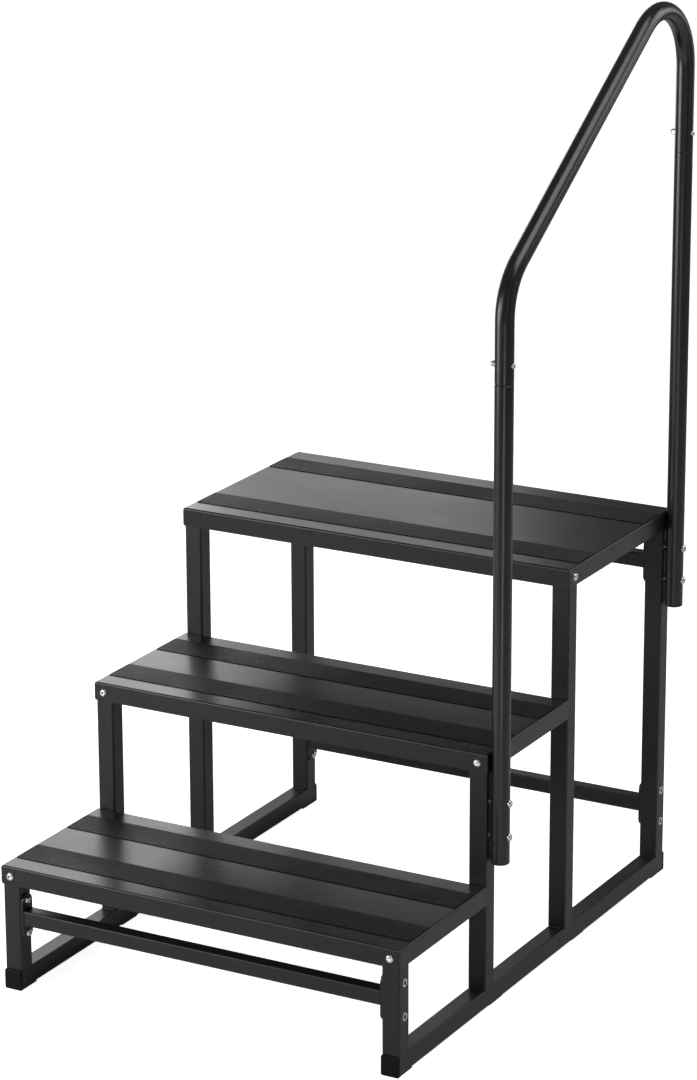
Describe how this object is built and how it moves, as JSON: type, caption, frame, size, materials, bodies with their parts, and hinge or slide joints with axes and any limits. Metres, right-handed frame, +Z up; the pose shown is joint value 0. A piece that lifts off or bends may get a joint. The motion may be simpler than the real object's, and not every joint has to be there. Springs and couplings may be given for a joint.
{
  "type": "spa steps",
  "caption": "Free-standing steps with folded treads and anti-slip strips on a square-tube frame, with a bent round handrail bolted to one side.",
  "frame": {"origin": "bottom centre of the whole object, on the floor", "axes": "+Z up, +Y from the lowest tread towards the back, +X towards the handrail's side"},
  "size_m": [0.6106, 0.7786, 1.2253],
  "materials": {
    "frame_black": "satin powder coat",
    "tread_black": "satin powder coat",
    "rail_black": "semi-gloss powder coat",
    "grip_strip": "matte mineral grit",
    "black_plastic": "moulded, fine texture",
    "bright_steel": "bright zinc plate"
  },
  "bodies": {
    "root": {"brace_bolts": "bright_steel", "brace_sleeves": "bright_steel", "front_lower_brace": "frame_black", "front_lower_brace_left_plate": "frame_black", "front_lower_brace_right_plate": "frame_black", "handrail_bolts": "bright_steel", "handrail_bow": "rail_black", "handrail_front_post": "rail_black", "handrail_front_post_plug": "black_plastic", "handrail_joint_bolts": "bright_steel", "handrail_joint_nuts": "bright_steel", "handrail_rear_post": "rail_black", "handrail_rear_post_plug": "black_plastic", "handrail_sleeves": "bright_steel", "left_bottom_rail": "frame_black", "left_front_floor_pad": "black_plastic", "left_front_foot_cap": "black_plastic", "left_front_leg": "frame_black", "left_rear_floor_pad": "black_plastic", "left_rear_foot_cap": "black_plastic", "left_rear_leg": "frame_black", "left_second_leg": "frame_black", "left_step_rail_1": "frame_black", "left_step_rail_2": "frame_black", "left_step_rail_3": "frame_black", "left_third_leg": "frame_black", "platform_screws": "bright_steel", "rear_lower_brace": "frame_black", "rear_lower_brace_left_plate": "frame_black", "rear_lower_brace_right_plate": "frame_black", "rear_upper_brace": "frame_black", "rear_upper_brace_left_plate": "frame_black", "rear_upper_brace_right_plate": "frame_black", "right_bottom_rail": "frame_black", "right_front_floor_pad": "black_plastic", "right_front_foot_cap": "black_plastic", "right_front_leg": "frame_black", "right_rear_floor_pad": "black_plastic", "right_rear_foot_cap": "black_plastic", "right_rear_leg": "frame_black", "right_second_leg": "frame_black", "right_step_rail_1": "frame_black", "right_step_rail_2": "frame_black", "right_step_rail_3": "frame_black", "right_third_leg": "frame_black", "thread_inserts": "bright_steel", "tread_1": "tread_black", "tread_1_front_strip": "grip_strip", "tread_1_rear_strip": "grip_strip", "tread_1_stiffener": "frame_black", "tread_2": "tread_black", "tread_2_front_strip": "grip_strip", "tread_2_rear_strip": "grip_strip", "tread_2_stiffener": "frame_black", "tread_3": "tread_black", "tread_3_front_stiffener": "frame_black", "tread_3_front_strip": "grip_strip", "tread_3_rear_stiffener": "frame_black", "tread_3_rear_strip": "grip_strip", "tread_screws": "bright_steel"}
  },
  "joints": []
}
